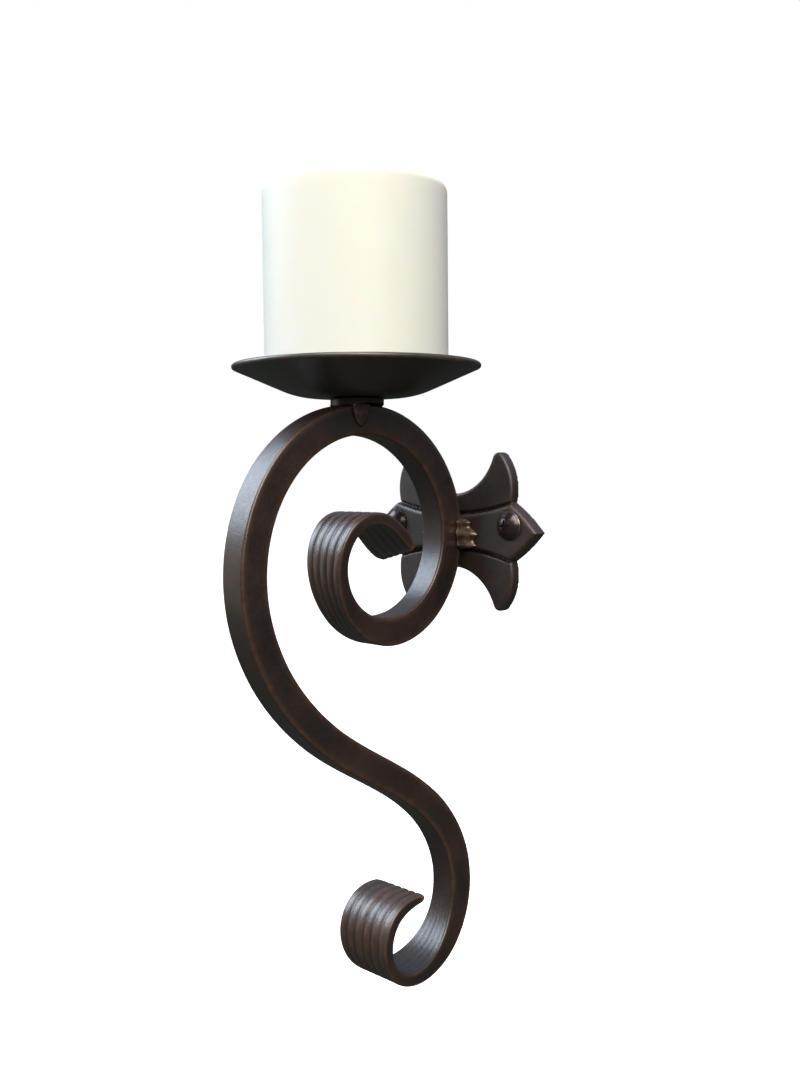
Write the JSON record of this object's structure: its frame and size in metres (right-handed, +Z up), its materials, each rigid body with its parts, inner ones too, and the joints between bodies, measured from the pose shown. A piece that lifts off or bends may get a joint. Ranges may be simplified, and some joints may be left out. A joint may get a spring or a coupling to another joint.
{
  "type": "wall sconce candle holder",
  "caption": "Forged scroll wall sconce: a square bar scroll on a cast wall plate carries a shallow pan with a pillar candle that lifts off its pricket",
  "frame": {"origin": "centre of the wall plate's back face, on the wall", "axes": "+Y into the wall, +Z up, +X to the right as seen from the room; the holder stands out along -Y"},
  "size_m": [0.1016, 0.1384, 0.3414],
  "materials": {
    "forged_iron": "dark brown-black waxed forged iron, satin, rubbed warmer on the arrises",
    "cast_plate": "dark brown cast plate with rubbed edges",
    "pan_iron": "near-black olive sheet iron, satin",
    "screw_steel": "blackened screw steel with bright wear",
    "weld_metal": "scorched brassy brown weld metal",
    "ivory_wax": "ivory candle wax, soft satin, slightly translucent",
    "wick_cotton": "unlit braided cotton"
  },
  "bodies": {
    "bracket": {"scroll_bar": "forged_iron", "wall_plate": "cast_plate", "screw_left": "screw_steel", "screw_right": "screw_steel", "pan_collar": "forged_iron", "candle_pan": "pan_iron", "candle_spike": "pan_iron", "weld_plate_left": "weld_metal", "weld_plate_right": "weld_metal", "weld_collar_left": "weld_metal", "weld_collar_right": "weld_metal"},
    "candle": {"candle_body": "ivory_wax", "candle_wick": "wick_cotton"}
  },
  "joints": [
    {"name": "candle_lift", "type": "slide", "parent": "bracket", "child": "candle", "axis": [0, 0, 1], "range_m": [0, 0.1]}
  ]
}
